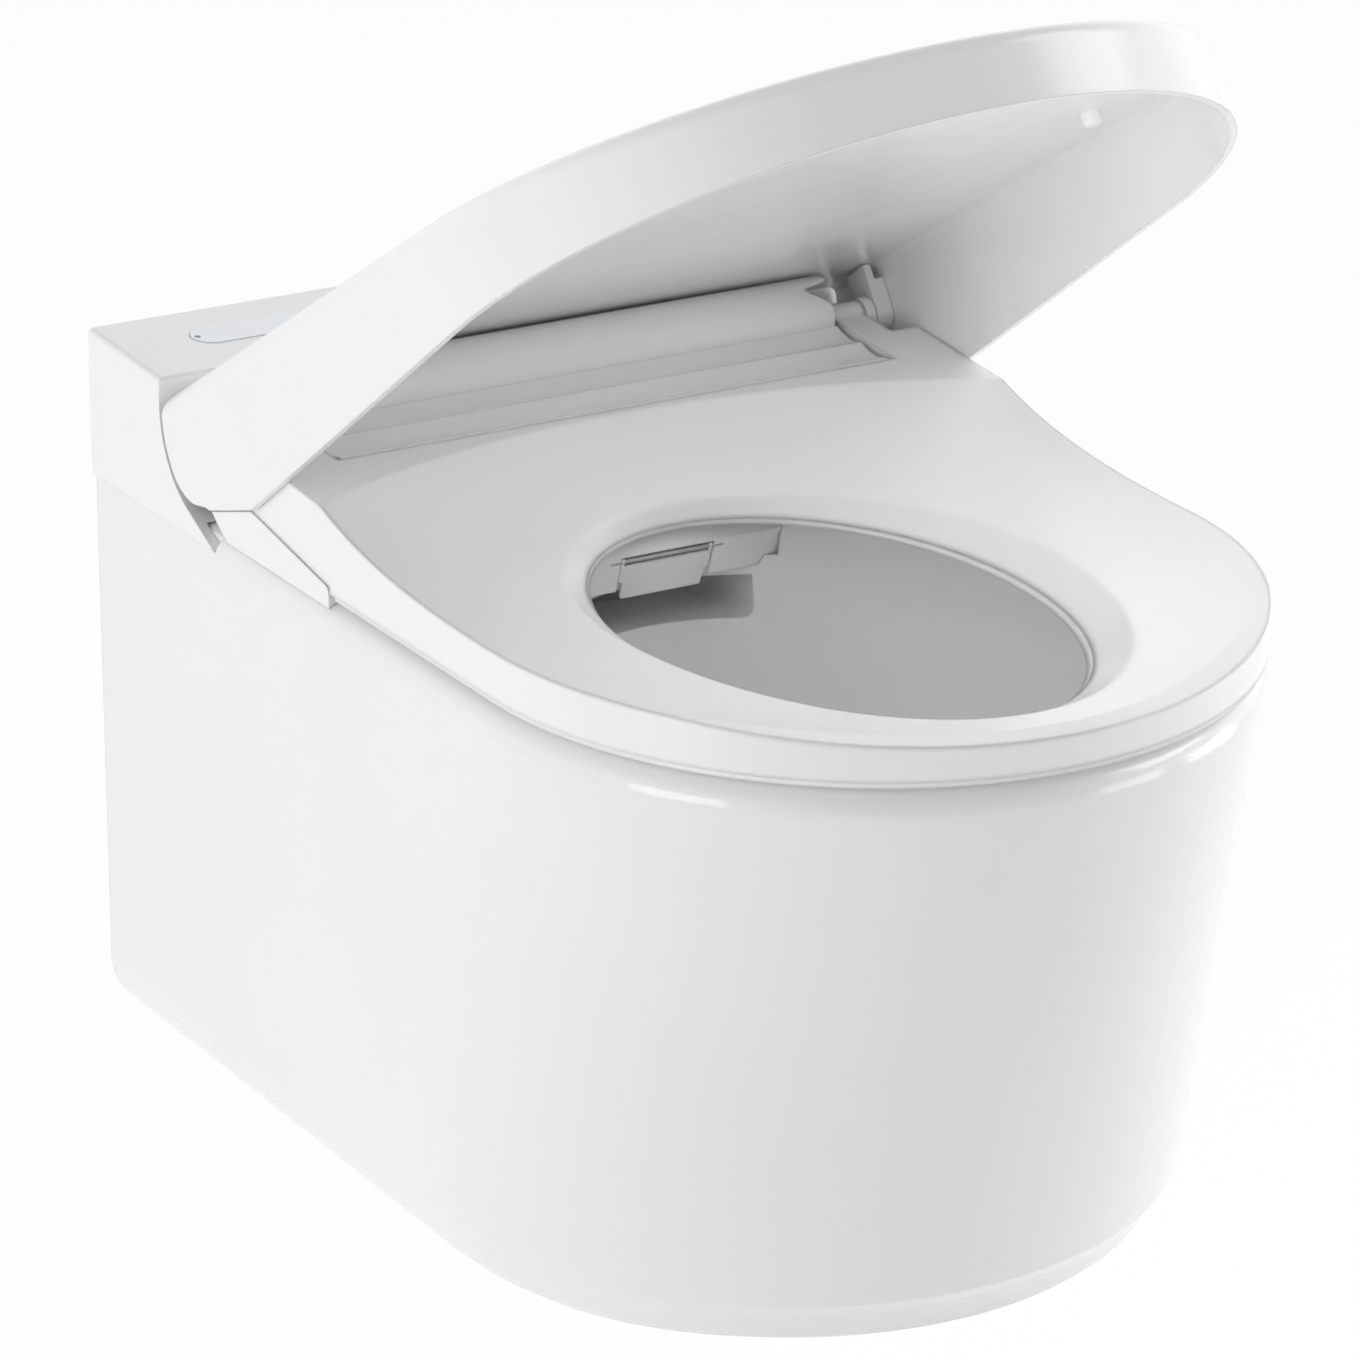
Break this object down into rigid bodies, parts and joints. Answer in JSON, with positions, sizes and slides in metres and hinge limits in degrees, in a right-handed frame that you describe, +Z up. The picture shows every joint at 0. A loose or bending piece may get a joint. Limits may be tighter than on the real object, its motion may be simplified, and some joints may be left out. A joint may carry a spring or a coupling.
{
  "type": "wall-hung bidet toilet",
  "caption": "Wall-hung toilet pan with an integrated bidet unit: hinged lid and seat, rear housing with a touch panel, and a sliding spray arm behind a small flap.",
  "frame": {"origin": "midway between the two wall fixings, on the wall plane", "axes": "+Y points into the wall, -Y to the front of the pan, +X to the right seen from the front, +Z up"},
  "size_m": [0.375, 0.591, 0.5996],
  "materials": {
    "white_ceramic": "gloss glaze",
    "white_plastic": "gloss",
    "grey_plastic": "matt",
    "dark_plastic": "matt",
    "clear_panel": "gloss",
    "black_gloss": "gloss",
    "white_rubber": "matt",
    "foam": "matt",
    "steel": "brushed",
    "board": "satin",
    "foil": "satin"
  },
  "bodies": {
    "pan": {"ceramic_bowl": "white_ceramic", "wall_mat": "foam", "wall_sleeves": "white_plastic", "rear_housing": "white_plastic", "control_panel": "clear_panel", "panel_sensor": "black_gloss", "hinge_block_right": "white_plastic", "hinge_block_left": "white_plastic", "hinge_pins": "steel", "hinge_cover": "white_plastic", "hinge_apron": "white_plastic", "lid_damper": "dark_plastic", "seat_damper": "dark_plastic", "nozzle_housing": "white_plastic", "flap_pin": "steel", "nozzle_guide": "grey_plastic", "arm_motor": "dark_plastic", "base_plate": "steel", "base_bolts": "steel", "inlet_valve": "grey_plastic", "power_module": "dark_plastic", "power_gland": "dark_plastic", "water_heater": "grey_plastic", "water_pump": "dark_plastic", "control_board": "board", "valve_hose": "white_rubber", "heater_hose": "white_rubber"},
    "seat": {"seat_shell": "white_plastic", "seat_base": "white_plastic", "seat_heater": "foil", "seat_buffers": "white_rubber", "seat_bushes": "grey_plastic"},
    "lid": {"lid_shell": "white_plastic", "lid_lug_right": "white_plastic", "lid_lug_left": "white_plastic", "lid_bushes": "grey_plastic", "lid_bumpers": "white_rubber"},
    "arm": {"spray_arm": "steel", "spray_tip": "white_plastic"},
    "flap": {"nozzle_flap": "white_plastic"}
  },
  "joints": [
    {"name": "seat_hinge", "type": "hinge", "parent": "pan", "child": "seat", "pos_m": [0, -0.1245, 0.129], "axis": [-1, 0, 0], "range_deg": [0, 39.5]},
    {"name": "lid_hinge", "type": "hinge", "parent": "seat", "child": "lid", "pos_m": [0, -0.1245, 0.129], "axis": [-1, 0, 0], "range_deg": [-35.4, 30]},
    {"name": "arm_slide", "type": "slide", "parent": "pan", "child": "arm", "axis": [0, -0.9816, -0.1908], "range_m": [0, 0.1]},
    {"name": "flap_hinge", "type": "hinge", "parent": "pan", "child": "flap", "pos_m": [0, -0.22905, 0.06831], "axis": [-1, 0, 0], "range_deg": [0, 108]}
  ],
  "couplings": [
    {"joint": "flap_hinge", "follows": "arm_slide", "rad_per_m": 18.85}
  ]
}
